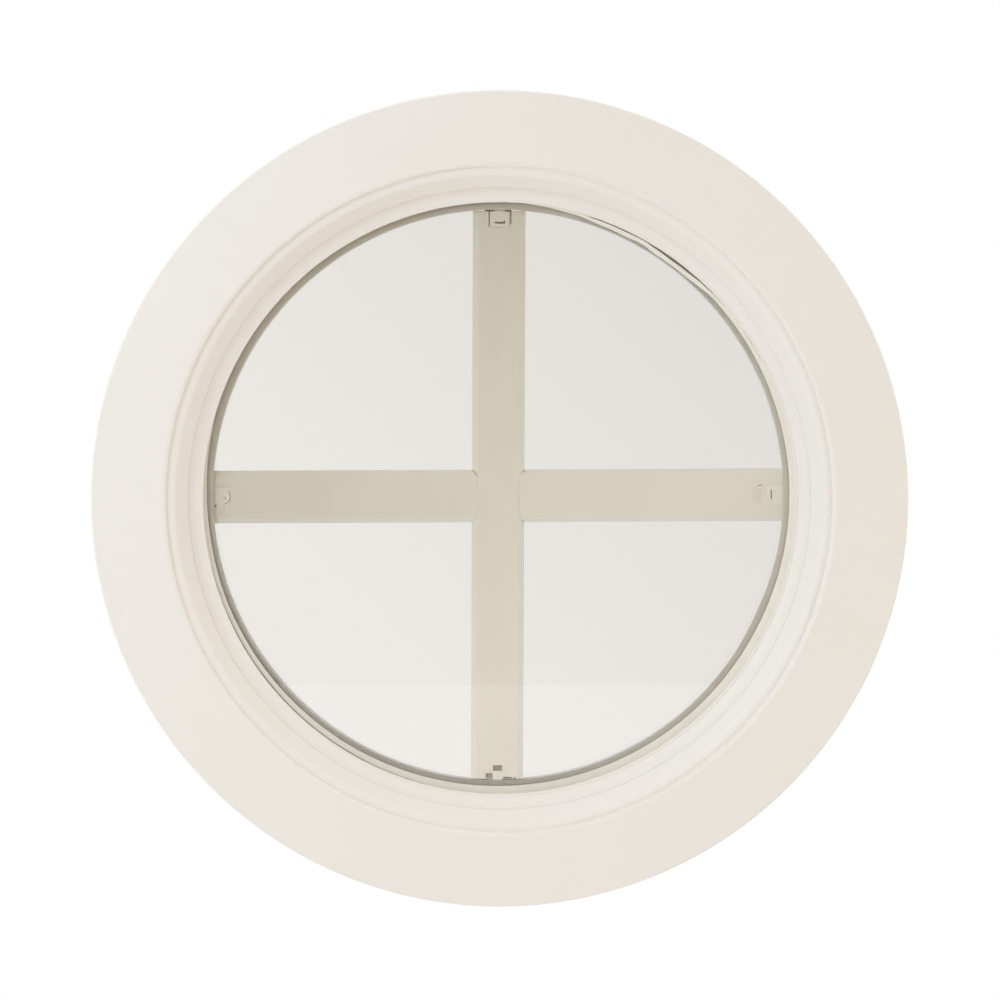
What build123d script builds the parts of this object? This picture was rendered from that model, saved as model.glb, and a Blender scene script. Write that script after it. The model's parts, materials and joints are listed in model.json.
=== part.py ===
"""Round fixed window: a one-piece moulded frame with a wide flat flange, holding a sealed
double-glazed unit with a flat cross of bars between its panes.

The window's axis runs along Y and the front looks along -Y, with +Z up. The origin is on the
axis, in the plane where the back of the flange bears on the wall. All sizes are millimetres.
"""

from build123d import *
from math import atan2, cos, degrees, radians, sin, sqrt, tan
import os

os.makedirs("parts", exist_ok=True)

# Driving sizes of the frame
outer_diameter = 571.5
flange_thickness = 20.0
rim_round = 1.5
jamb_depth = 56.0
jamb_wall = 10.0
jamb_chamfer = 1.5

# Stepped moulding, from the glass opening outwards
lip_wall = 3.1
lip_round = 0.8
lip_land = 1.2
cove_radius = 14.3
cove_outer_angle = 60.0
cove_inner_angle = 20.0
quirk_land = 0.5
quirk_depth = 1.0
ovolo_slope_width = 7.4
ovolo_slope_angle = 45.0
ovolo_radius = 7.6
crease_land = 0.9
roll_radius = 3.4

# Sealed unit, which sits a little off the frame's centre
glass_diameter = 431.8
glass_thickness = 3.0
glass_arris = 0.4
cavity = 12.0
lip_bite = 6.9
edge_clearance = 3.1
unit_shift_x = -1.0
unit_shift_z = 2.0

# Spacer ring between the panes, its key and its drying beads
spacer_height = 7.0
spacer_wall = 0.5
spacer_shoulder = 2.5
spacer_shoulder_drop = 2.2
spacer_joint_angle = 76.0
spacer_joint_gap = 0.3
key_length = 44.0
bead_fill_depth = 3.0

# Seals of the unit
seal_depth = 6.4
seal_recess = 0.5
butyl_thickness = 0.3
butyl_setback = 0.3

# Bars of the cross, hollow with bevelled edges
bar_width = 37.2
bar_thickness = 6.4
bar_edge_thickness = 2.4
bar_bevel = 4.2
bar_wall = 0.6
vertical_end_gap = 0.35
horizontal_end_gap = 0.15
vertical_lean = 0.24
horizontal_lean = 0.25
crossing_seam = 0.15

# Joiner hidden in the crossing
joiner_reach = 42.0
joiner_width = 25.0
joiner_tip = 2.0

# Clips that hold the bar ends to the spacer
clip_body_width = 26.0
clip_body_length = 16.0
clip_neck_width = 7.7
clip_pin_diameter = 2.6
clip_barb_diameter = 3.5
clip_barb_length = 1.6
clip_pocket_depth = 2.6
clip_slot_width = 7.0
clip_slot_length = 1.0
clip_slot_inset = 8.2
pad_width = 15.0
pad_length = 11.8
top_slit = 0.5
side_slit = 0.15

# Punched openings at the lower end of the vertical bar
foot_pad_width = 9.0
foot_pad_length = 5.8
window_width = 6.4
window_length = 3.9
window_offset = 0.4
corner_width = 4.9
corner_length = 4.0
corner_offset = 5.6

# Tape, gasket and blocks between the unit and the frame
tape_thickness = 0.8
tape_width = 7.0
tape_setback = 1.0
gasket_thickness = 1.2
gasket_width = 8.0
gasket_setback = 1.0
block_length = 26.0
setting_block_angle = 28.0
location_block_angle = 35.0

# Ring that holds the unit from behind
bead_width = 10.5
bead_height = 14.0
bead_round = 6.0

# Countersunk screws through the ring into the jamb
screw_count = 8
screw_first_angle = 22.5
screw_inset = 4.2
screw_diameter = 2.8
screw_length = 16.0
screw_point = 3.0
screw_head_diameter = 5.4
screw_head_height = 1.6
recess_length = 3.2
recess_width = 0.7
recess_depth = 0.9

# Clearances: faces that touch, parts that slip in, and drilled holes
touch = 0.05
snug = 0.1
drill = 0.2
slip = 0.3

# Radii of the frame
outer_r = outer_diameter / 2
glass_r = glass_diameter / 2
lip_r = glass_r - lip_bite
pocket_r = glass_r + edge_clearance
jamb_r = pocket_r + jamb_wall
land_r = lip_r + lip_round + lip_land
cove_r = land_r + cove_radius * (sin(radians(cove_outer_angle)) - sin(radians(cove_inner_angle)))
quirk_r = cove_r + quirk_land
slope_r = quirk_r + ovolo_slope_width
ovolo_r = slope_r + ovolo_radius * sin(radians(ovolo_slope_angle))
crease_r = ovolo_r + crease_land
flat_r = crease_r + roll_radius

# Depths of the frame, from its front face back
front_y = -flange_thickness
crease_y = front_y + roll_radius
slope_y = crease_y + ovolo_radius * (1 - cos(radians(ovolo_slope_angle)))
quirk_y = slope_y + ovolo_slope_width * tan(radians(ovolo_slope_angle))
cove_y = quirk_y + quirk_depth
land_y = cove_y + cove_radius * (cos(radians(cove_inner_angle)) - cos(radians(cove_outer_angle)))
lip_back_y = land_y + lip_round + lip_wall

# Depths of what stands in the frame
unit_y = lip_back_y + tape_thickness
cavity_y = unit_y + glass_thickness
cavity_end_y = cavity_y + cavity
unit_end_y = cavity_end_y + glass_thickness
bar_y = cavity_y + cavity / 2
bead_y = unit_end_y + gasket_thickness
bead_end_y = bead_y + bead_height
screw_y = bead_y + screw_inset

# Radii and depths of the spacer ring
spacer_back_r = glass_r - seal_depth
shoulder_r = spacer_back_r - spacer_shoulder
sight_r = spacer_back_r - spacer_height
spacer_y = cavity_y + butyl_thickness
spacer_end_y = cavity_end_y - butyl_thickness

# Half sizes of the bars
bar_half = bar_width / 2
face_half = bar_half - bar_bevel
bar_reach = sqrt(sight_r**2 - bar_half**2)
vertical_reach = bar_reach - vertical_end_gap
horizontal_reach = bar_reach - horizontal_end_gap
hollow_depth = bar_thickness - 2 * bar_wall
insert_depth = hollow_depth - 2 * snug

# Radii of the holding ring and its screws
bead_outer_r = pocket_r - slip
bead_inner_r = bead_outer_r - bead_width
shank_r = screw_diameter / 2
head_r = screw_head_diameter / 2
head_angle = 2 * degrees(atan2(head_r - shank_r, screw_head_height))
pilot_depth = bead_inner_r + screw_length + drill - pocket_r
screw_angles = [screw_first_angle + 360 / screw_count * i for i in range(screw_count)]

# Directions of the four bar ends as the front shows them, from +X towards +Z
top_angle = 90 - vertical_lean
bottom_angle = top_angle + 180
right_angle = horizontal_lean
left_angle = right_angle + 180

unit_axis = Axis((unit_shift_x, 0, unit_shift_z), (0, -1, 0))


def direction(angle):
    """Unit vector in the window's plane at this angle."""
    return Vector(cos(radians(angle)), 0, sin(radians(angle)))


def section_plane(angle):
    """Plane through the unit's axis: its x is a radius and its y the depth."""
    return Plane(origin=(unit_shift_x, 0, unit_shift_z), x_dir=direction(angle), z_dir=direction(angle + 90))


def facing_plane(y, angle=0.0):
    """Plane that faces the front at this depth, on the unit's centre, its x at this angle."""
    return Plane(origin=(unit_shift_x, y, unit_shift_z), x_dir=direction(angle), z_dir=(0, -1, 0))


def across_plane(angle, distance):
    """Plane square to a bar, this far from the unit's centre: its y looks to the front."""
    centre = Vector(unit_shift_x, bar_y, unit_shift_z) + direction(angle) * distance
    return Plane(origin=centre, x_dir=direction(angle + 90), z_dir=direction(angle))


def drill_plane(angle, radius, y):
    """Plane on a wall round the frame's axis: a hole sunk from it runs outwards."""
    return Plane(origin=direction(angle) * radius + Vector(0, y, 0), x_dir=(0, 1, 0), z_dir=-direction(angle))


def save(piece, name):
    """Labels a finished piece and writes it."""
    piece.part.label = name
    export_step(piece.part, f"parts/{name}.step")


# Frame: flange, stepped moulding, glazing rebate and jamb in one piece
with BuildPart() as frame:
    with BuildSketch(Plane.XY):
        with BuildLine():
            Line((jamb_r, 0), (outer_r - rim_round, 0))
            JernArc((outer_r - rim_round, 0), (1, 0), rim_round, -90)
            Line((outer_r, -rim_round), (outer_r, front_y + rim_round))
            JernArc((outer_r, front_y + rim_round), (0, -1), rim_round, -90)
            Line((outer_r - rim_round, front_y), (flat_r, front_y))
            JernArc((flat_r, front_y), (-1, 0), roll_radius, -90)
            Line((crease_r, crease_y), (ovolo_r, crease_y))
            JernArc((ovolo_r, crease_y), (-1, 0), ovolo_radius, -ovolo_slope_angle)
            Line((slope_r, slope_y), (quirk_r, quirk_y))
            Line((quirk_r, quirk_y), (quirk_r, cove_y))
            Line((quirk_r, cove_y), (cove_r, cove_y))
            cove_start = (-cos(radians(cove_outer_angle)), sin(radians(cove_outer_angle)))
            JernArc((cove_r, cove_y), cove_start, cove_radius, cove_outer_angle - cove_inner_angle)
            Line((land_r, land_y), (lip_r + lip_round, land_y))
            JernArc((lip_r + lip_round, land_y), (-1, 0), lip_round, -90)
            Line((lip_r, land_y + lip_round), (lip_r, lip_back_y))
            Line((lip_r, lip_back_y), (pocket_r, lip_back_y))
            Line((pocket_r, lip_back_y), (pocket_r, jamb_depth - jamb_chamfer))
            Line((pocket_r, jamb_depth - jamb_chamfer), (pocket_r + jamb_chamfer, jamb_depth))
            Line((pocket_r + jamb_chamfer, jamb_depth), (jamb_r - jamb_chamfer, jamb_depth))
            Line((jamb_r - jamb_chamfer, jamb_depth), (jamb_r, jamb_depth - jamb_chamfer))
            Line((jamb_r, jamb_depth - jamb_chamfer), (jamb_r, 0))
        make_face()
    revolve(axis=Axis.Y)
    for angle in screw_angles:
        with Locations(drill_plane(angle, pocket_r, screw_y)):
            Hole(shank_r + touch, depth=pilot_depth)
save(frame, "frame")


# Flat rings that bed the unit: foam tape in front of it and a gasket behind it
def flat_ring(y, thickness, inner_r, width):
    """Ring round the frame's axis with a rectangular section."""
    with BuildPart() as ring:
        with BuildSketch(Plane.XZ.offset(-y)):
            Circle(inner_r + width)
            Circle(inner_r, mode=Mode.SUBTRACT)
        extrude(amount=-thickness)
    return ring


save(flat_ring(lip_back_y, tape_thickness, lip_r + tape_setback, tape_width), "front_glazing_tape")
save(flat_ring(unit_end_y, gasket_thickness, bead_inner_r + gasket_setback, gasket_width), "rear_gasket")


# Panes, with ground edges
def pane(y):
    """Round pane whose front face is at this depth."""
    with BuildPart() as glass:
        with BuildSketch(facing_plane(y)):
            Circle(glass_r)
        extrude(amount=-glass_thickness)
        chamfer(glass.edges(), glass_arris)
    return glass


save(pane(unit_y), "front_pane")
save(pane(cavity_end_y), "rear_pane")

# Spacer: a rolled hollow section bent round, butted at its joint and punched for the clips
spacer_outline = [
    (sight_r, spacer_y),
    (shoulder_r, spacer_y),
    (spacer_back_r, spacer_y + spacer_shoulder_drop),
    (spacer_back_r, spacer_end_y - spacer_shoulder_drop),
    (shoulder_r, spacer_end_y),
    (sight_r, spacer_end_y),
]
half_joint = degrees(spacer_joint_gap / 2 / sight_r)
with BuildPart() as spacer_bar:
    with BuildSketch(section_plane(spacer_joint_angle + half_joint)):
        Polygon(*spacer_outline)
        offset(amount=-spacer_wall, kind=Kind.INTERSECTION, mode=Mode.SUBTRACT)
    revolve(axis=unit_axis, revolution_arc=360 - 2 * half_joint)
    for angle in (top_angle, bottom_angle, left_angle, right_angle):
        with BuildSketch(across_plane(angle, sight_r - 1)):
            Circle(clip_pin_diameter / 2 + snug)
        extrude(amount=1 + 2 * spacer_wall, mode=Mode.SUBTRACT)
save(spacer_bar, "spacer_bar")


# Key across the joint, and the drying beads as one filling of the ring's outer side
half_key = degrees(key_length / 2 / sight_r)
with BuildPart() as spacer_key:
    with BuildSketch(section_plane(spacer_joint_angle - half_key)):
        Polygon(*spacer_outline)
        offset(amount=-spacer_wall - snug, kind=Kind.INTERSECTION)
    revolve(axis=unit_axis, revolution_arc=2 * half_key)
save(spacer_key, "spacer_key")

fill_r = spacer_back_r - spacer_wall - bead_fill_depth
fill_start = half_key + degrees(slip / sight_r)
with BuildPart() as desiccant:
    with BuildSketch(section_plane(spacer_joint_angle + fill_start)):
        Polygon(*spacer_outline)
        offset(amount=-spacer_wall - snug, kind=Kind.INTERSECTION)
        with Locations((fill_r, bar_y)):
            Rectangle(spacer_height, cavity, align=(Align.MIN, Align.CENTER), mode=Mode.INTERSECT)
    revolve(axis=unit_axis, revolution_arc=360 - 2 * fill_start)
save(desiccant, "desiccant")


# Seals: butyl between the spacer's sides and the panes, and sealant behind it up to the edge
def butyl(y):
    """Thin ring of butyl that starts at this depth."""
    with BuildPart() as ring:
        with BuildSketch(facing_plane(y)):
            Circle(shoulder_r)
            Circle(sight_r + butyl_setback, mode=Mode.SUBTRACT)
        extrude(amount=-butyl_thickness)
    return ring


save(butyl(cavity_y), "front_butyl_seal")
save(butyl(spacer_end_y), "rear_butyl_seal")

with BuildPart() as edge_sealant:
    with BuildSketch(section_plane(0)):
        Polygon(
            (shoulder_r + touch, cavity_y),
            (glass_r - seal_recess, cavity_y),
            (glass_r - seal_recess, cavity_end_y),
            (shoulder_r + touch, cavity_end_y),
            (shoulder_r + touch, spacer_end_y),
            (spacer_back_r + touch, spacer_end_y - spacer_shoulder_drop),
            (spacer_back_r + touch, spacer_y + spacer_shoulder_drop),
            (shoulder_r + touch, spacer_y),
        )
    revolve(axis=unit_axis)
save(edge_sealant, "edge_sealant")

# Section of a bar: across its width and towards the front
bar_outline = [
    (bar_half, -bar_edge_thickness / 2),
    (bar_half, bar_edge_thickness / 2),
    (face_half, bar_thickness / 2),
    (-face_half, bar_thickness / 2),
    (-bar_half, bar_edge_thickness / 2),
    (-bar_half, -bar_edge_thickness / 2),
    (-face_half, -bar_thickness / 2),
    (face_half, -bar_thickness / 2),
]


def bar_section(angle, distance):
    """Hollow section of a bar, this far from the unit's centre."""
    with BuildSketch(across_plane(angle, distance)) as section:
        Polygon(*bar_outline)
        offset(amount=-bar_wall, kind=Kind.INTERSECTION, mode=Mode.SUBTRACT)
    return section.sketch


def pad_notch(angle, reach):
    """Outline of the opening in a bar's front wall for a clip's pad."""
    with BuildSketch(facing_plane(bar_y - hollow_depth / 2, angle)) as notch:
        with Locations((reach - pad_length, 0)):
            Rectangle(2 * pad_length, pad_width, align=(Align.MIN, Align.CENTER))
    return notch.sketch


# Vertical bar: one length, with a mitred notch in each edge for the horizontal bars
mitre = bar_bevel + bar_wall
with BuildPart() as vertical_bar:
    extrude(bar_section(top_angle, -vertical_reach), amount=2 * vertical_reach)
    for angle in (left_angle, right_angle):
        with BuildSketch(facing_plane(bar_y, angle)):
            Polygon(
                (face_half, -face_half),
                (face_half + mitre, -face_half - mitre),
                (face_half + mitre, face_half + mitre),
                (face_half, face_half),
            )
        extrude(amount=bar_thickness, both=True, mode=Mode.SUBTRACT)
    extrude(pad_notch(top_angle, vertical_reach), amount=bar_wall, mode=Mode.SUBTRACT)
    with BuildSketch(facing_plane(bar_y - hollow_depth / 2, bottom_angle)):
        with Locations((vertical_reach - foot_pad_length, 0)):
            Rectangle(2 * foot_pad_length, foot_pad_width, align=(Align.MIN, Align.CENTER))
        with Locations((vertical_reach - foot_pad_length, window_offset)):
            Rectangle(window_length, window_width, align=(Align.MAX, Align.CENTER))
        with Locations((vertical_reach - corner_length, -corner_offset)):
            Rectangle(2 * corner_length, corner_width, align=(Align.MIN, Align.CENTER))
    extrude(amount=bar_wall, mode=Mode.SUBTRACT)
save(vertical_bar, "vertical_bar")


# Horizontal bar: two lengths whose mitred tips close the notches, flush with the vertical one
def horizontal_half(angle):
    """One length of the horizontal bar, from the crossing out to the spacer."""
    near = face_half + crossing_seam
    with BuildPart() as half:
        extrude(bar_section(angle, near), amount=horizontal_reach - near)
        with BuildSketch(facing_plane(bar_y, angle)):
            for side in (1, -1):
                Polygon(
                    (near, side * face_half),
                    (near, side * (face_half + mitre)),
                    (near + mitre, side * (face_half + mitre)),
                )
        extrude(amount=bar_thickness, both=True, mode=Mode.SUBTRACT)
        extrude(pad_notch(angle, horizontal_reach), amount=bar_wall, mode=Mode.SUBTRACT)
    return half


save(horizontal_half(left_angle), "horizontal_bar_left")
save(horizontal_half(right_angle), "horizontal_bar_right")

# Joiner: a moulded cross that keys the hollow bars together
with BuildPart() as cross_joiner:
    for angle in (top_angle, right_angle):
        with BuildSketch(facing_plane(bar_y - insert_depth / 2, angle)) as arm:
            Rectangle(2 * joiner_reach, joiner_width)
            chamfer(arm.vertices(), joiner_tip)
        extrude(amount=-insert_depth)
save(cross_joiner, "cross_joiner")


def clip_blank(angle, reach, length, width, slit):
    """Clip before its pockets are cut: a body in the hollow bar, a pad that fills the notch
    in the bar's front wall, a neck across the gap and a barbed pin in the spacer."""
    neck_end = sqrt(sight_r**2 - (clip_neck_width / 2) ** 2) - touch
    barb_start = sight_r + spacer_wall + snug
    with BuildPart() as blank:
        with BuildSketch(facing_plane(bar_y - insert_depth / 2, angle)):
            with Locations((reach, 0)):
                Rectangle(clip_body_length, clip_body_width, align=(Align.MAX, Align.CENTER))
            with Locations((neck_end, 0)):
                Rectangle(clip_body_length, clip_neck_width, align=(Align.MAX, Align.CENTER))
        extrude(amount=-insert_depth)
        with BuildSketch(facing_plane(bar_y - insert_depth / 2, angle)):
            with Locations((reach, 0)):
                Rectangle(length - slit, width - 2 * slit, align=(Align.MAX, Align.CENTER))
        extrude(amount=(bar_thickness - insert_depth) / 2)
        with BuildSketch(across_plane(angle, neck_end)):
            Circle(clip_pin_diameter / 2)
        extrude(amount=barb_start - neck_end)
        with Locations(across_plane(angle, barb_start)):
            Cone(
                clip_barb_diameter / 2,
                clip_pin_diameter / 4,
                clip_barb_length,
                align=(Align.CENTER, Align.CENTER, Align.MIN),
            )
    return blank.part


# Clips of the top, left and right ends, with a slot across the pad
def end_clip(angle, reach, slit):
    """Clip whose pad faces the front."""
    blank = clip_blank(angle, reach, pad_length, pad_width, slit)
    with BuildPart() as clip:
        add(blank)
        with BuildSketch(facing_plane(bar_y - bar_thickness / 2, angle)):
            with Locations((reach - clip_slot_inset, 0)):
                Rectangle(clip_slot_length, clip_slot_width)
        extrude(amount=-clip_pocket_depth, mode=Mode.SUBTRACT)
    return clip


save(end_clip(top_angle, vertical_reach, top_slit), "end_clip_top")
save(end_clip(left_angle, horizontal_reach, side_slit), "end_clip_left")
save(end_clip(right_angle, horizontal_reach, side_slit), "end_clip_right")

# Clip of the lower end, turned over: a small pad, with pockets behind the punched openings
foot_blank = clip_blank(bottom_angle, vertical_reach, foot_pad_length, foot_pad_width, side_slit)
with BuildPart() as end_clip_bottom:
    add(foot_blank)
    with BuildSketch(facing_plane(bar_y - bar_thickness / 2, bottom_angle)):
        with Locations((vertical_reach - foot_pad_length, window_offset)):
            Rectangle(window_length, window_width, align=(Align.MAX, Align.CENTER))
        with Locations((vertical_reach - corner_length, -corner_offset)):
            Rectangle(2 * corner_length, corner_width - snug, align=(Align.MIN, Align.CENTER))
    extrude(amount=-clip_pocket_depth, mode=Mode.SUBTRACT)
save(end_clip_bottom, "end_clip_bottom")


# Blocks that carry the unit in the rebate and keep it from shifting
def edge_block(angle):
    """Block that fills the gap between the unit's edge and the frame at this angle."""
    with BuildPart() as block:
        with BuildSketch(Plane.XZ.offset(-unit_y)):
            Circle(pocket_r - touch)
            with Locations((unit_shift_x, unit_shift_z)):
                Circle(glass_r + touch, mode=Mode.SUBTRACT)
            with PolarLocations(pocket_r, 1, start_angle=angle):
                Rectangle(4 * edge_clearance, block_length, mode=Mode.INTERSECT)
        extrude(amount=unit_y - unit_end_y)
    return block


save(edge_block(270 - setting_block_angle), "setting_block_left")
save(edge_block(270 + setting_block_angle), "setting_block_right")
save(edge_block(180 - location_block_angle), "location_block_left")
save(edge_block(location_block_angle), "location_block_right")

# Holding ring behind the unit, rounded towards the room and countersunk for its screws
with BuildPart() as glazing_bead:
    with BuildSketch(Plane.XY):
        with BuildLine():
            Line((bead_inner_r, bead_y), (bead_outer_r, bead_y))
            Line((bead_outer_r, bead_y), (bead_outer_r, bead_end_y))
            Line((bead_outer_r, bead_end_y), (bead_inner_r + bead_round, bead_end_y))
            JernArc((bead_inner_r + bead_round, bead_end_y), (-1, 0), bead_round, 90)
            Line((bead_inner_r, bead_end_y - bead_round), (bead_inner_r, bead_y))
        make_face()
    revolve(axis=Axis.Y)
    for angle in screw_angles:
        with Locations(drill_plane(angle, bead_inner_r, screw_y)):
            CounterSinkHole(
                shank_r + drill,
                head_r + drill,
                depth=bead_width + slip,
                counter_sink_angle=head_angle,
            )
save(glazing_bead, "glazing_bead")

# Screws: countersunk heads with a cross recess, plain shanks and points
upright = (Align.CENTER, Align.CENTER, Align.MAX)
with BuildPart() as bead_screws:
    for angle in screw_angles:
        with Locations(drill_plane(angle, bead_inner_r + snug, screw_y)):
            Cone(shank_r, head_r, screw_head_height, align=upright)
            Cylinder(shank_r, screw_length - screw_point, align=upright)
            Box(recess_length, recess_width, recess_depth, align=upright, mode=Mode.SUBTRACT)
            Box(recess_width, recess_length, recess_depth, align=upright, mode=Mode.SUBTRACT)
        with Locations(drill_plane(angle, bead_inner_r + snug + screw_length - screw_point, screw_y)):
            Cone(shank_r / 4, shank_r, screw_point, align=upright)
save(bead_screws, "bead_screws")
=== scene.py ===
"""Looks of the round window: its finishes, the fine shapes of its seals, the light and the camera.

Metres, in the frame of the model: the window's axis along Y, its front towards -Y, +Z up.
"""

import json
from math import cos, radians, sin

import bmesh
import bpy
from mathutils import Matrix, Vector


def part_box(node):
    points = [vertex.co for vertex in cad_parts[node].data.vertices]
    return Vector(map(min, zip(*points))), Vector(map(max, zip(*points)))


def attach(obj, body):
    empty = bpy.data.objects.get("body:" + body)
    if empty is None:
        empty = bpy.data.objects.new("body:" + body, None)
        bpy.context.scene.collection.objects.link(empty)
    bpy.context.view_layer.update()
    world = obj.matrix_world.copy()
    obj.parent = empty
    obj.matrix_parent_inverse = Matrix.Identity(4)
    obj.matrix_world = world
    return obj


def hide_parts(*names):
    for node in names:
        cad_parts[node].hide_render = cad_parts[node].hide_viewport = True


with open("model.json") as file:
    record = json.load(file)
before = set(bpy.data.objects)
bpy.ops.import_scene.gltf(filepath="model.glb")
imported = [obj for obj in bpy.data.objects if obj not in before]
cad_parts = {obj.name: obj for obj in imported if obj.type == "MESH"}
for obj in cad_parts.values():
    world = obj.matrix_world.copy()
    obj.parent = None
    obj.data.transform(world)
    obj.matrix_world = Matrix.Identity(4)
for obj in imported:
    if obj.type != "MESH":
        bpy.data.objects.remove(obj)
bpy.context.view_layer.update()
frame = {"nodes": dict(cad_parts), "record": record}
nodes = frame["nodes"]
MM = 0.001

# Sizes read from the model: ends of its pieces along Y, and their reach to the right. The rings of
# the seals take these reaches as radii round the unit's own centre, which is 1 mm further left.
front_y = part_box("frame")[0].y
lip_back_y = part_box("front_glazing_tape")[0].y
pane_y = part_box("front_pane")[0].y
cavity_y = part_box("front_pane")[1].y
cavity_end_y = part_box("rear_pane")[0].y
bar_front_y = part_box("vertical_bar")[0].y
outer_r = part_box("frame")[1].x
tape_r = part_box("front_glazing_tape")[1].x
sealant_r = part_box("edge_sealant")[1].x
shoulder_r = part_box("front_butyl_seal")[1].x
spacer_back_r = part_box("spacer_bar")[1].x
unit_centre = (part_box("front_pane")[0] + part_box("front_pane")[1]) / 2

# Seals, in mm: the lip that hides them, their gaps to the glass and to other pieces, and their steps
lip_r_mm = 209.0
glass_gap = 0.1
butyl_depth = 0.28
sealant_setback = 0.3
sealant_slope = 3.0
sealant_clearance = 0.05
tape_lip_gap = 0.02
tape_pane_gap = 0.06
tape_band = 0.2
ring_segments = 1080

# Uneven edges: waves in mm, and how many of them go round a ring, with their shares and starts
edge_waves = 0.1
slit_waves = 0.175
waves_round = ((3, 0.5, 40), (7, 0.3, 110), (17, 0.2, 0))

# Inner edges of the butyl and of the tape, and how far the edge of the slit's painted shadow lies
# inside the lip, where a negative one is hidden behind it: in mm, as (angle, value) pairs
# anticlockwise from the right
butyl_edge = [
    (0, 201.5), (8, 201.8), (20, 202.5), (45, 202.6), (60, 202.7), (78, 202.7), (83, 202.0), (97, 202.0),
    (120, 202.5), (150, 202.5), (168, 202.2), (174, 201.7), (186, 201.5), (192, 202.0), (210, 202.7),
    (230, 202.6), (250, 202.0), (270, 201.8), (290, 202.1), (310, 201.8), (325, 201.2), (336, 200.6),
    (344, 201.0), (352, 201.5), (360, 201.5),
]
tape_edge = [
    (0, 205.7), (30, 205.8), (42, 205.7), (50, 203.4), (57, 203.3), (60.5, 204.5), (64, 203.8), (69, 204.1),
    (75, 205.6), (82, 206.6), (90, 208.9), (150, 208.9), (160, 208.0), (170, 206.7), (180, 205.7),
    (190, 205.4), (200, 205.6), (210, 205.5), (270, 205.6), (320, 205.6), (360, 205.7),
]
tape_slit = [
    (0, -0.6), (24, -0.6), (28, 0.15), (33, 0.15), (37, -0.3), (42, 0.1), (46, 0.8), (50, 1.6), (54, 1.9),
    (58, 1.3), (60, 0.6), (65, 1.0), (71, 0.8), (74, -0.6), (186, -0.6), (196, 0.3), (206, 0.5),
    (238, 0.65), (252, 0.4), (266, -0.2), (290, -0.6), (300, 0.1), (312, 0.1), (322, -0.6), (360, -0.6),
]

# Camera: the window seen from straight in front and slightly above. The rim in the picture is
# rim_depth behind the front. The aim is lowered by centre_share_px, so that the rim and the inner
# circles share what is left of their shift.
image_size = 1000
rim_centre_px = (499.5, 499.6)
rim_radius_px = 408.9
rim_depth = 0.0015
centre_share_px = 1.2
camera_distance = 2.2
camera_elevation = radians(3.0)
sensor_width_mm = 36.0
clip_start = 0.05

# Floor, well below the window, which hangs in its wall. It fades to white between two distances.
floor_z = -0.60
floor_front_y = -4.2
floor_back_y = 2.4
floor_half_width = 4.0
floor_fade = (0.55, 1.0)

# Room that lights the window: dim ahead and behind, bright at the sides
room_front = 0.32
room_side = 1.62

# Room that the glass mirrors: dim in front, up to a cone round the axis, and bright around it
mirrored_front = 0.12
mirrored_round = 0.9
mirrored_cone = (-1.0, -0.7)

# Background seen through the glass: white at the lower left, greyer at the upper right
through_low = 1.0
through_high = 0.9
through_reach = (-0.13, 0.07)

# Lamps: squares of this size that shine at the window's middle
lamp_size = 0.7

# Finishes: the values between which most of a noise texture lies, how far a plain finish varies in
# roughness, and how much finer the waves of its relief are than its patches
noise_span = (0.3, 0.7)
gloss_varies = 0.06
relief_finer = 6


def stroke(points, width):
    """Outline in pixels of a line of this width along points."""
    left, right = [], []
    for i, (x, y) in enumerate(points):
        (x0, y0), (x1, y1) = points[max(i - 1, 0)], points[min(i + 1, len(points) - 1)]
        side = Vector((y0 - y1, x1 - x0)).normalized() * width / 2
        left.append((x + side.x, y + side.y))
        right.append((x - side.x, y - side.y))
    return left + right[::-1]


# Marks on the fronts of the bars and clips: outlines in pixels of the picture, and how far in mm
# each kind stands in front of the bars. The pockets' floors lie behind the openings instead.
mark_thickness = 0.12
gap_px = [
    [(488.7, 210.1), (489.8, 210.1), (489.8, 226.4), (488.7, 226.4)],
    [(510.3, 209.9), (511.4, 209.9), (511.4, 224.4), (510.3, 224.4)],
    [(484.8, 209.9), (494.4, 209.9), (494.4, 211.1), (489.8, 211.7), (484.8, 210.9)],
    [(505.0, 209.7), (511.4, 209.7), (511.4, 211.7), (505.0, 211.5)],
    [
        (494.8, 221.9), (499.0, 222.4), (503.4, 222.2), (504.0, 220.7), (505.2, 220.7), (505.0, 223.9),
        (497.0, 223.7),
    ],
    [(503.3, 776.7), (511.8, 776.9), (511.8, 778.3), (503.3, 778.3)],
    [(513.3, 777.1), (515.6, 777.1), (515.6, 778.3), (513.3, 778.3)],
    [(214.8, 504.5), (216.7, 504.9), (216.4, 507.0), (214.7, 507.0)],
]
# Painted shade: dark lines along the hook-shaped edges of the clips and at the corners where the bars cross
shade_line_px = [
    stroke(
        [(227.6, 490.7), (229.6, 493.7), (230.4, 496.9), (229.4, 500.3), (226.8, 502.9), (224.0, 504.3)],
        0.9,
    ),
    stroke([(223.4, 496.5), (225.2, 497.9), (226.0, 499.7)], 0.8),
    stroke([(757.0, 485.9), (759.6, 485.1), (762.4, 485.1)], 0.9),
    stroke([(472.2, 469.8), (475.0, 472.7), (477.2, 475.4)], 1.0),
    stroke([(524.8, 469.9), (522.6, 472.1)], 0.8),
    stroke([(524.2, 522.3), (522.2, 520.3)], 0.8),
]
# Painted highlights: light lines along edges of the clips
highlight_line_px = [
    stroke([(226.2, 491.9), (228.0, 494.5), (228.4, 497.3), (226.8, 500.3), (223.8, 502.3)], 1.0),
    stroke([(214.6, 488.9), (218.5, 488.5), (222.6, 489.1)], 0.8),
    stroke([(770.4, 497.7), (771.6, 500.9), (774.2, 502.9), (777.4, 503.5), (781.6, 502.9)], 0.8),
    stroke([(487.4, 212.0), (487.4, 227.0)], 0.7),
]
left_face_px = [(217.0, 489.1), (229.6, 489.1), (229.6, 506.1), (217.0, 506.1)]
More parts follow.
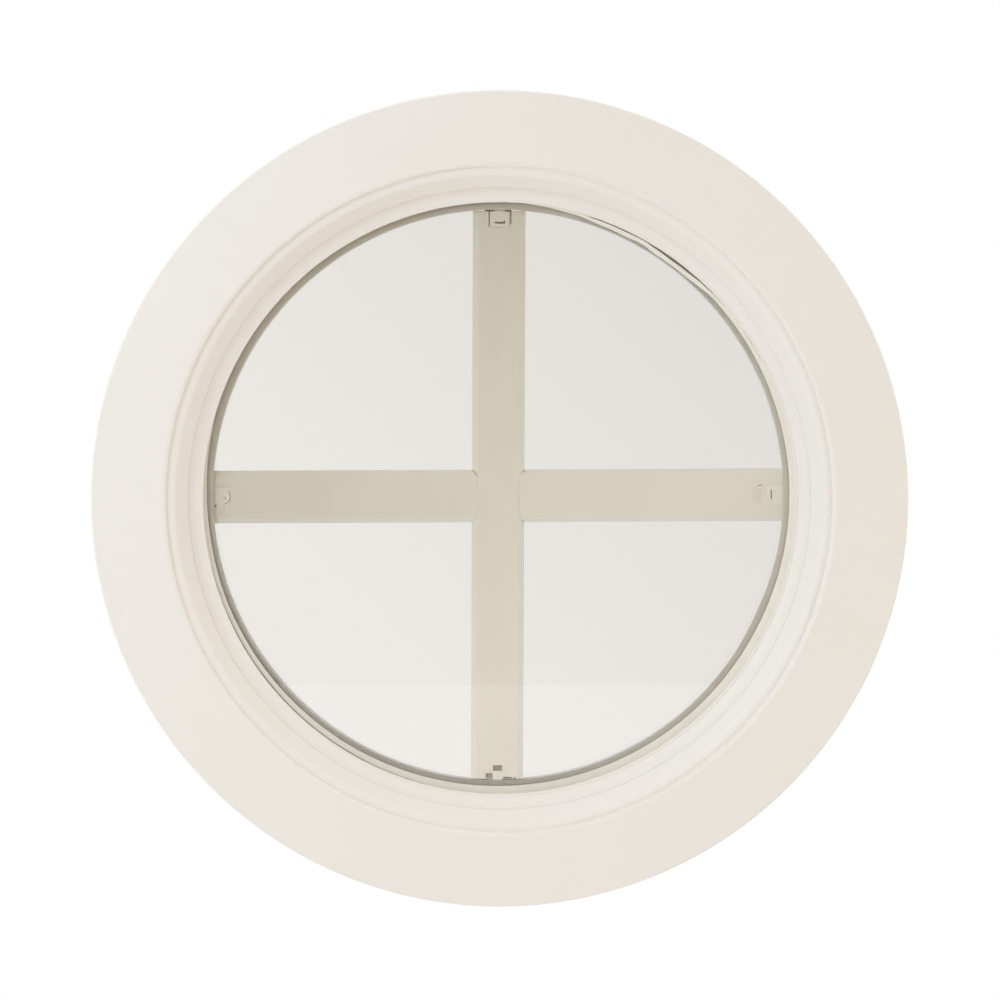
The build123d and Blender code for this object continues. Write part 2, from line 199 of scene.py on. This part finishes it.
# A patch of the bars' paint, a little darker, near the right end of the horizontal bar
darker_patch_px = [
    (754, 487), (759, 486.5), (762, 490.5), (762.4, 497.5), (760, 503.5), (755.5, 504), (751.6, 499.5),
    (751, 491.5),
]
pocket_px = [
    [(493.5, 765.4), (502.0, 765.4), (502.0, 770.4), (493.5, 770.4)],
    [(486.2, 775.5), (489.4, 773.9), (492.8, 773.5), (492.8, 778.1), (486.2, 778.1)],
]
gap_stands = 0.04
hook_stands = 0.05
edge_stands = 0.04
patch_stands = 0.02
pocket_stands = -0.4


def socket_values(node, values):
    """Sets a node's own sockets."""
    for name, value in values.items():
        node.inputs[name].default_value = value


def maths(tree, operation, *sources):
    """Result of a maths node with these sources."""
    node = tree.nodes.new("ShaderNodeMath")
    node.operation = operation
    for source, target in zip(sources, node.inputs):
        tree.links.new(source, target)
    return node.outputs["Value"]


def spread(tree, source, low, high, start, end, interpolation="LINEAR"):
    """Maps a value from start..end to low..high."""
    node = tree.nodes.new("ShaderNodeMapRange")
    node.interpolation_type = interpolation
    socket_values(node, {"From Min": start, "From Max": end, "To Min": low, "To Max": high})
    tree.links.new(source, node.inputs["Value"])
    return node.outputs["Result"]


def shader_mix(tree, factor, first, second):
    """Shader that goes from the first to the second as the factor goes from 0 to 1."""
    node = tree.nodes.new("ShaderNodeMixShader")
    for source, target in zip((factor, first, second), node.inputs):
        tree.links.new(source, target)
    return node.outputs["Shader"]


class Finish:
    """A node material with one Principled shader and the few kinds of node that the finishes share."""

    def __init__(self, name, **values):
        self.material = bpy.data.materials.new(name)
        self.material.use_nodes = True
        self.tree = self.material.node_tree
        self.shader = self.tree.nodes["Principled BSDF"]
        socket_values(self.shader, values)
        self.texture = self.tree.nodes.new("ShaderNodeTexCoord")

    def link(self, source, target):
        self.tree.links.new(source, target)

    def noise(self, scale, detail=2.0):
        """Noise of this many waves a metre."""
        node = self.tree.nodes.new("ShaderNodeTexNoise")
        socket_values(node, {"Scale": scale, "Detail": detail})
        self.link(self.texture.outputs["Object"], node.inputs["Vector"])
        return node.outputs["Fac"]

    def stretched(self, noise):
        """Noise with its middle stretched to 0..1."""
        return spread(self.tree, noise, 0, 1, *noise_span)

    def vector_maths(self, operation, source, value=None):
        """Vector node with this source and, where it has one, this fixed second vector."""
        node = self.tree.nodes.new("ShaderNodeVectorMath")
        node.operation = operation
        if value:
            node.inputs[1].default_value = value
        self.link(source, node.inputs[0])
        return node.outputs

    def towards(self, direction, start, end, vectors="Object", both_ways=False):
        """0 to 1 from start to end along a direction, by place or by the way a surface faces."""
        reach = self.vector_maths("DOT_PRODUCT", self.texture.outputs[vectors], direction)["Value"]
        if both_ways:
            reach = maths(self.tree, "ABSOLUTE", reach)
        return spread(self.tree, reach, 0, 1, start, end)

    def blend(self, factor, first, second):
        """Mixes two colours, each a plain one or another node's."""
        node = self.tree.nodes.new("ShaderNodeMix")
        node.data_type = "RGBA"
        self.link(factor, node.inputs["Factor"])
        for value, name in ((first, "A"), (second, "B")):
            target = next(s for s in node.inputs if s.name == name and s.type == "RGBA")
            if isinstance(value, tuple):
                target.default_value = (*value, 1.0)
            else:
                self.link(value, target)
        return next(s for s in node.outputs if s.type == "RGBA")

    def colour(self, source):
        self.link(source, self.shader.inputs["Base Color"])

    def gloss(self, noise, low, high):
        """Roughness between low and high."""
        self.link(spread(self.tree, noise, low, high, *noise_span), self.shader.inputs["Roughness"])

    def relief(self, source, height, strength):
        """Bump of this height in mm."""
        node = self.tree.nodes.new("ShaderNodeBump")
        socket_values(node, {"Distance": height * MM, "Strength": strength})
        self.link(source, node.inputs["Height"])
        self.link(node.outputs["Normal"], self.shader.inputs["Normal"])

    def mix_in(self, factor, other):
        """Shows another shader in place of the Principled one, as far as the factor says."""
        mixed = shader_mix(self.tree, factor, self.shader.outputs["BSDF"], other)
        self.link(mixed, self.tree.nodes["Material Output"].inputs["Surface"])


def moulded_white():
    """Satin off-white moulding: barely mottled, with a fine orange peel."""
    finish = Finish("moulded_white", IOR=1.5)
    mottle = finish.stretched(finish.noise(9.0, 3.0))
    finish.colour(finish.blend(mottle, (0.845, 0.80, 0.735), (0.835, 0.79, 0.72)))
    finish.gloss(finish.noise(60.0), 0.40, 0.50)
    finish.relief(finish.noise(900.0), 0.04, 0.35)
    return finish.material


def clear_glass():
    """Clear float glass whose faint warm grey body is partly its own tint and partly painted shade of the
    backdrop seen through it, and which lets the light of lamps straight through.
    """
    # Base colour: the glass's own tint and painted shade of the backdrop seen through it
    finish = Finish("clear_glass", **{
        "Base Color": (0.935, 0.92, 0.90, 1.0), "Transmission Weight": 1.0, "Roughness": 0.0, "IOR": 1.5,
    })
    passed = finish.tree.nodes.new("ShaderNodeBsdfTransparent")
    passed.inputs["Color"].default_value = (0.98, 0.975, 0.965, 1.0)
    shadows = finish.tree.nodes.new("ShaderNodeLightPath").outputs["Is Shadow Ray"]
    finish.mix_in(shadows, passed.outputs["BSDF"])
    return finish.material


def lifted(colour, lift):
    """A colour made lighter by a factor."""
    return tuple(min(channel * lift, 1.0) for channel in colour)


def bar_tone(finish, lift):
    """The bars' beige, made lighter by a factor, with painted light and shade: painted shade towards the
    upper left, painted light towards the lower right, and the brightest painted light on the bevels that
    face that way."""
    cloud = finish.stretched(finish.noise(18.0, 3.0))
    dull = finish.blend(cloud, lifted((0.79, 0.728, 0.575), lift), lifted((0.77, 0.707, 0.555), lift))
    pale = finish.blend(cloud, lifted((0.965, 0.91, 0.77), lift), lifted((0.945, 0.89, 0.75), lift))
    # Painted shade towards the upper left and painted light towards the lower right
    across = finish.towards((1, 0, -1), -0.15, 0.15)
    bevel = finish.blend(across, lifted((0.895, 0.853, 0.715), lift), lifted((1.0, 0.985, 0.90), lift))
    # Painted light on the bevels that face the lower right
    facing = finish.towards((1, 0, -1), 0.2, 0.4, "Normal")
    finish.colour(finish.blend(facing, finish.blend(across, dull, pale), bevel))


def bar_paint(name, lift):
    """Satin beige paint on rolled aluminium, made lighter by a factor."""
    finish = Finish(name, IOR=1.45)
    bar_tone(finish, lift)
    finish.gloss(finish.noise(80.0), 0.45, 0.55)
    finish.relief(finish.noise(700.0), 0.03, 0.3)
    return finish.material


def clip_plastic(name, lift):
    """Moulded beige plastic in the bars' tone with its painted light and shade, a little less glossy, made
    lighter by a factor.
    """
    finish = Finish(name)
    bar_tone(finish, lift)
    finish.gloss(finish.noise(200.0), 0.5, 0.62)
    finish.relief(finish.noise(1500.0), 0.03, 0.4)
    return finish.material


def butyl_rubber():
    """Dull grey-olive butyl with painted light and shade: painted shade towards the bottom, and painted
    light at the upper left and lower right.
    """
    finish = Finish("butyl")
    patches = finish.noise(60.0, 3.0)
    streak = finish.stretched(patches)
    # Painted shade towards the bottom
    height = finish.towards((0.4, 0, 1), -0.2, 0.2)

    def tones(lift):
        low = finish.blend(streak, lifted((0.49, 0.45, 0.36), lift), lifted((0.54, 0.495, 0.395), lift))
        high = finish.blend(streak, lifted((0.72, 0.66, 0.53), lift), lifted((0.78, 0.715, 0.57), lift))
        return finish.blend(height, low, high)

    # Painted light and shade: lit copies of the tones at the upper left and lower right, shaded copies
    # elsewhere
    side = finish.towards((-0.92, 0, 0.39), 0.08, 0.19, both_ways=True)
    finish.colour(finish.blend(side, tones(0.87), tones(1.16)))
    finish.gloss(patches, 0.54, 0.66)
    finish.relief(finish.noise(700.0), 0.05, 0.5)
    return finish.material


def foam_tape():
    """Closed-cell foam, with painted shade that makes it a little greyer towards the lower left."""
    finish = Finish("foam_tape")
    cells = finish.noise(90.0, 3.0)
    cloud = finish.stretched(cells)
    unshaded_foam = finish.blend(cloud, (0.82, 0.785, 0.685), (0.87, 0.835, 0.73))
    grey = finish.blend(cloud, (0.69, 0.66, 0.575), (0.735, 0.705, 0.615))
    # Painted shade: the grey tone towards the lower left
    finish.colour(finish.blend(finish.towards((-0.7, 0, -0.7), -0.05, 0.12), unshaded_foam, grey))
    finish.gloss(cells, 0.74, 0.86)
    finish.relief(finish.noise(540.0), 0.1, 0.5)
    return finish.material


def plain(name, light, dark, roughness, waves, height, metallic):
    """A finish with two close tones in patches and a relief of finer waves."""
    finish = Finish(name, Metallic=metallic)
    patches = finish.noise(waves, 3.0)
    finish.colour(finish.blend(finish.stretched(patches), dark, light))
    finish.gloss(patches, roughness - gloss_varies, roughness + gloss_varies)
    finish.relief(finish.noise(waves * relief_finer), height, 0.5)
    return finish.material


# Plain finishes: the light and the dark tone of their patches, roughness, patches a metre, height
# of the relief in mm, and how metallic they are
plain_finishes = {
    "spacer_metal": ((0.88, 0.86, 0.80), (0.82, 0.80, 0.74), 0.6, 90, 0.03, 0),
    "key_metal": ((0.6, 0.6, 0.6), (0.5, 0.5, 0.5), 0.35, 200, 0.03, 0.9),
    "drying_beads": ((0.62, 0.58, 0.5), (0.5, 0.46, 0.4), 0.7, 900, 0.2, 0),
    "edge_seal": ((0.70, 0.66, 0.56), (0.65, 0.61, 0.52), 0.65, 120, 0.08, 0),
    "block_plastic": ((0.10, 0.11, 0.12), (0.08, 0.085, 0.09), 0.5, 150, 0.05, 0),
    "gasket_rubber": ((0.035, 0.035, 0.035), (0.025, 0.025, 0.025), 0.6, 200, 0.06, 0),
    "screw_metal": ((0.62, 0.62, 0.60), (0.5, 0.5, 0.48), 0.32, 400, 0.03, 1),
    # painted shade lines on the clips and bars
    "shade_line_paint": ((0.47, 0.39, 0.28), (0.43, 0.355, 0.25), 0.6, 300, 0.03, 0),
    "pocket_shade": ((0.40, 0.325, 0.235), (0.36, 0.29, 0.205), 0.7, 300, 0.05, 0),
    "gap_shadow": ((0.20, 0.15, 0.095), (0.15, 0.11, 0.07), 0.8, 300, 0.05, 0),
    "slit_shadow": ((0.20, 0.19, 0.155), (0.15, 0.14, 0.115), 0.9, 300, 0.1, 0),
}
finishes = {name: plain(name, *values) for name, values in plain_finishes.items()}
finishes.update({
    "frame_polymer": moulded_white(),
    "clear_glass": clear_glass(),
    "bar_paint": bar_paint("bar_paint", 1.0),
    "darker_paint": bar_paint("darker_paint", 0.94),
    "clip_plastic": clip_plastic("clip_plastic", 1.05),
    # painted highlight lines: the clips' plastic made lighter
    "highlight_line_paint": clip_plastic("highlight_line_paint", 1.2),
    "foam_tape": foam_tape(),
    "butyl": butyl_rubber(),
})

for part in frame["record"]["subparts"]:
    for slot in nodes[part["node"]].material_slots:
        slot.material = finishes[part["material_slot"]]


def along(pairs, angle):
    """Value at an angle, eased between the (angle, value) pairs."""
    for (start, low), (end, high) in zip(pairs, pairs[1:]):
        if start <= angle <= end:
            t = (angle - start) / (end - start)
            return low + (high - low) * t * t * (3 - 2 * t)


def added(name, data):
    """New object in the scene that shows this mesh, lamp or camera."""
    thing = bpy.data.objects.new(name, data)
    bpy.context.scene.collection.objects.link(thing)
    return thing


def spun(name, outline):
    """Ring round the unit's axis. The outline gives its (radius mm, depth mm) points at an angle."""
    mesh = bpy.data.meshes.new(name)
    verts, faces = [], []
    count = len(outline(0.0))
    for i in range(ring_segments):
        angle = 360 * i / ring_segments
        across, up = cos(radians(angle)), sin(radians(angle))
        for radius, depth in outline(angle):
            verts.append((
                unit_centre.x + radius * across * MM, depth * MM, unit_centre.z + radius * up * MM,
            ))
        here, after = i * count, (i + 1) % ring_segments * count
        for k in range(count):
            m = (k + 1) % count
            faces.append((here + k, here + m, after + m, after + k))
    mesh.from_pydata(verts, [], faces)
    shell = bmesh.new()
    shell.from_mesh(mesh)
    bmesh.ops.recalc_face_normals(shell, faces=shell.faces)
    shell.to_mesh(mesh)
    shell.free()
    return added(name, mesh)


def dress(piece, slot, replaced):
    """Gives a piece its finish and puts it in place of a CAD node."""
    piece.data.materials.append(finishes[slot])
    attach(piece, "root")
    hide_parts(replaced)


def unit_shift(angle):
    """How far the unit's own centre lies from the frame's axis in this direction, in mm."""
    return (unit_centre.x * cos(radians(angle)) + unit_centre.z * sin(radians(angle))) / MM


def wander(angle, amount):
    """Small uneven waves along a pressed edge."""
    return amount * sum(share * sin(radians(count * angle + start)) for count, share, start in waves_round)


def butyl_outline(angle):
    """Butyl behind the front pane, with its inner edge pressed out unevenly."""
    inner = along(butyl_edge, angle) + wander(angle, edge_waves)
    outer = spacer_back_r / MM
    front, back = cavity_y / MM + glass_gap, cavity_y / MM + butyl_depth
    return [(inner, front), (outer, front), (outer, back), (inner, back)]


def sealant_outline(angle):
    """Edge sealant round the spacer, from one pane to the other. It is the same at every angle."""
    inner, outer = shoulder_r / MM + sealant_clearance, sealant_r / MM
    back_r = spacer_back_r / MM + sealant_clearance
    front, back = cavity_y / MM + sealant_setback, cavity_end_y / MM - glass_gap
    return [
        (inner, front), (outer, front), (outer, back), (inner, back), (inner, back - sealant_setback),
        (back_r, back - sealant_slope), (back_r, front + sealant_slope), (inner, front + sealant_setback),
    ]


def tape_outline(angle):
    """Glazing tape between the lip and the front pane, pressed out past the lip except at the upper
    left. The stretch from its second point to its third is painted dark as the shadow of a slit that opens
    along the lip."""
    slit = lip_r_mm - unit_shift(angle) - along(tape_slit, angle) + wander(2 * angle, slit_waves)
    inner = min(along(tape_edge, angle) + wander(angle, edge_waves), slit - tape_band)
    outer = tape_r / MM
    front, back = lip_back_y / MM + tape_lip_gap, pane_y / MM - tape_pane_gap
    return [(inner, front), (slit, front), (outer, front), (outer, back), (inner, back)]


dress(spun("butyl_ring", butyl_outline), "butyl", "front_butyl_seal")
dress(spun("sealant_ring", sealant_outline), "edge_seal", "edge_sealant")
tape = spun("tape_ring", tape_outline)
dress(tape, "foam_tape", "front_glazing_tape")
# Painted shadow of the slit along the lip, on the tape's front
tape.data.materials.append(finishes["slit_shadow"])
stretches = len(tape_outline(0.0))
slit_stretch = 1
for face in tape.data.polygons:
    face.material_index = face.index % stretches == slit_stretch


def add_camera():
    """Camera that puts the flange's front rim where the photograph has it."""
    data = bpy.data.cameras.new("camera")
    data.sensor_width = sensor_width_mm
    data.lens = rim_radius_px * (camera_distance + rim_depth) / outer_r / image_size * sensor_width_mm
    data.clip_start = clip_start
    metres_per_px = outer_r / rim_radius_px
    right = (image_size / 2 - rim_centre_px[0]) * metres_per_px
    up = (rim_centre_px[1] - image_size / 2) * metres_per_px
    tilt_px = rim_radius_px * outer_r * sin(camera_elevation) / camera_distance
    target = Vector((right, front_y, up + (tilt_px - centre_share_px) * metres_per_px))
    towards = Vector((0, -cos(camera_elevation), sin(camera_elevation)))
    camera = added("camera", data)
    camera.location = target + towards * camera_distance
    camera.rotation_euler = (-towards).to_track_quat("-Z", "Y").to_euler()
    bpy.context.scene.camera = camera


def seen_at(x, y, depth):
    """Point at this depth along the frame's Y that the camera sees at pixel x, y of the picture."""
    camera = bpy.context.scene.camera
    focal_px = camera.data.lens / camera.data.sensor_width * image_size
    turn = camera.rotation_euler.to_matrix()
    ray = turn @ Vector((x - image_size / 2, image_size / 2 - y, -focal_px))
    return camera.location + ray * (depth - camera.location.y) / ray.y


def add_marks(name, finish, outlines, stands):
    """Thin plates that stand this many mm in front of the bars, with their outlines in pixels."""
    mesh = bpy.data.meshes.new(name)
    verts, faces = [], []
    depth = bar_front_y - stands * MM
    for outline in outlines:
        first, count = len(verts), len(outline)
        for layer in (depth, depth + mark_thickness * MM):
            verts += [seen_at(x, y, layer) for x, y in outline]
        faces.append(range(first, first + count))
        faces.append(range(first + count, first + 2 * count))
        for k in range(count):
            m = (k + 1) % count
            faces.append((first + k, first + m, first + count + m, first + count + k))
    mesh.from_pydata(verts, [], faces)
    mesh.materials.append(finishes[finish])
    marks = added(name, mesh)
    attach(marks, "root")


def add_lamp(name, place, power, colour):
    """Square area lamp that shines from place at the window's middle, unseen through the glass."""
    data = bpy.data.lights.new(name, "AREA")
    data.shape = "SQUARE"
    data.size = lamp_size
    data.energy = power
    data.color = colour
    lamp = added(name, data)
    lamp.location = place
    lamp.rotation_euler = (-Vector(place)).to_track_quat("-Z", "Y").to_euler()
    lamp.visible_transmission = False


def add_world():
    """A background that differs with what meets it: the camera, the glass as it mirrors, a view
    through the glass, or the surfaces that it lights."""
    world = bpy.data.worlds.new("studio")
    bpy.context.scene.world = world
    world.use_nodes = True
    tree = world.node_tree
    tree.nodes.clear()

    def background(colour, strength=None):
        node = tree.nodes.new("ShaderNodeBackground")
        node.inputs["Color"].default_value = (*colour, 1)
        if strength:
            tree.links.new(strength, node.inputs["Strength"])
        return node.outputs["Background"]

    directions = tree.nodes.new("ShaderNodeTexCoord").outputs["Generated"]
    axes = tree.nodes.new("ShaderNodeSeparateXYZ")
    tree.links.new(directions, axes.inputs["Vector"])
    x, y, z = axes.outputs
    lit = spread(tree, maths(tree, "ABSOLUTE", y), room_side, room_front, 0, 1)
    mirrored = spread(tree, y, mirrored_front, mirrored_round, *mirrored_cone)
    through = spread(tree, maths(tree, "ADD", x, z), through_low, through_high, *through_reach)
    rays = tree.nodes.new("ShaderNodeLightPath").outputs
    light = background((1.0, 0.985, 0.965), lit)
    for ray, seen in (
        ("Is Glossy Ray", background((1.0, 0.99, 0.97), mirrored)),
        ("Is Transmission Ray", background((1, 1, 1), through)),
        ("Is Camera Ray", background((1, 1, 1))),
    ):
        light = shader_mix(tree, rays[ray], light, seen)
    output = tree.nodes.new("ShaderNodeOutputWorld")
    tree.links.new(light, output.inputs["Surface"])


def add_floor():
    """Plain pale floor that runs into the white background away from the object."""
    mesh = bpy.data.meshes.new("floor")
    corners = [
        (-floor_half_width, floor_front_y, floor_z),
        (floor_half_width, floor_front_y, floor_z),
        (floor_half_width, floor_back_y, floor_z),
        (-floor_half_width, floor_back_y, floor_z),
    ]
    mesh.from_pydata(corners, [], [(0, 1, 2, 3)])
    finish = Finish("floor", Roughness=0.8)
    finish.colour(finish.blend(finish.noise(3.0), (0.88, 0.875, 0.865), (0.86, 0.855, 0.845)))
    flat = finish.vector_maths("MULTIPLY", finish.texture.outputs["Object"], (1, 1, 0))["Vector"]
    distance = finish.vector_maths("LENGTH", flat)["Value"]
    fade = spread(finish.tree, distance, 0, 1, *floor_fade, "SMOOTHSTEP")
    rays = finish.tree.nodes.new("ShaderNodeLightPath").outputs
    seen = maths(finish.tree, "MAXIMUM", rays["Is Camera Ray"], rays["Is Transmission Ray"])
    white = finish.tree.nodes.new("ShaderNodeEmission")
    finish.mix_in(maths(finish.tree, "MULTIPLY", fade, seen), white.outputs["Emission"])
    mesh.materials.append(finish.material)
    added("floor", mesh)


add_camera()
add_marks("clip_gaps", "gap_shadow", gap_px, gap_stands)
add_marks("clip_hook_shade", "shade_line_paint", shade_line_px, hook_stands)
add_marks("clip_edge_highlights", "highlight_line_paint", highlight_line_px, edge_stands)
add_marks("clip_face_left", "clip_plastic", [left_face_px], patch_stands)
add_marks("bar_darker_patch", "darker_paint", [darker_patch_px], patch_stands)
add_marks("foot_pocket_floor", "pocket_shade", pocket_px, pocket_stands)
add_world()
add_floor()
add_lamp("key", place=(-0.9, -0.9, 0.5), power=5.2, colour=(0.67, 0.82, 1.0))
add_lamp("fill", place=(1.1, -0.9, -0.1), power=1.2, colour=(1.0, 0.62, 0.25))

bpy.context.scene.view_settings.view_transform = "Standard"
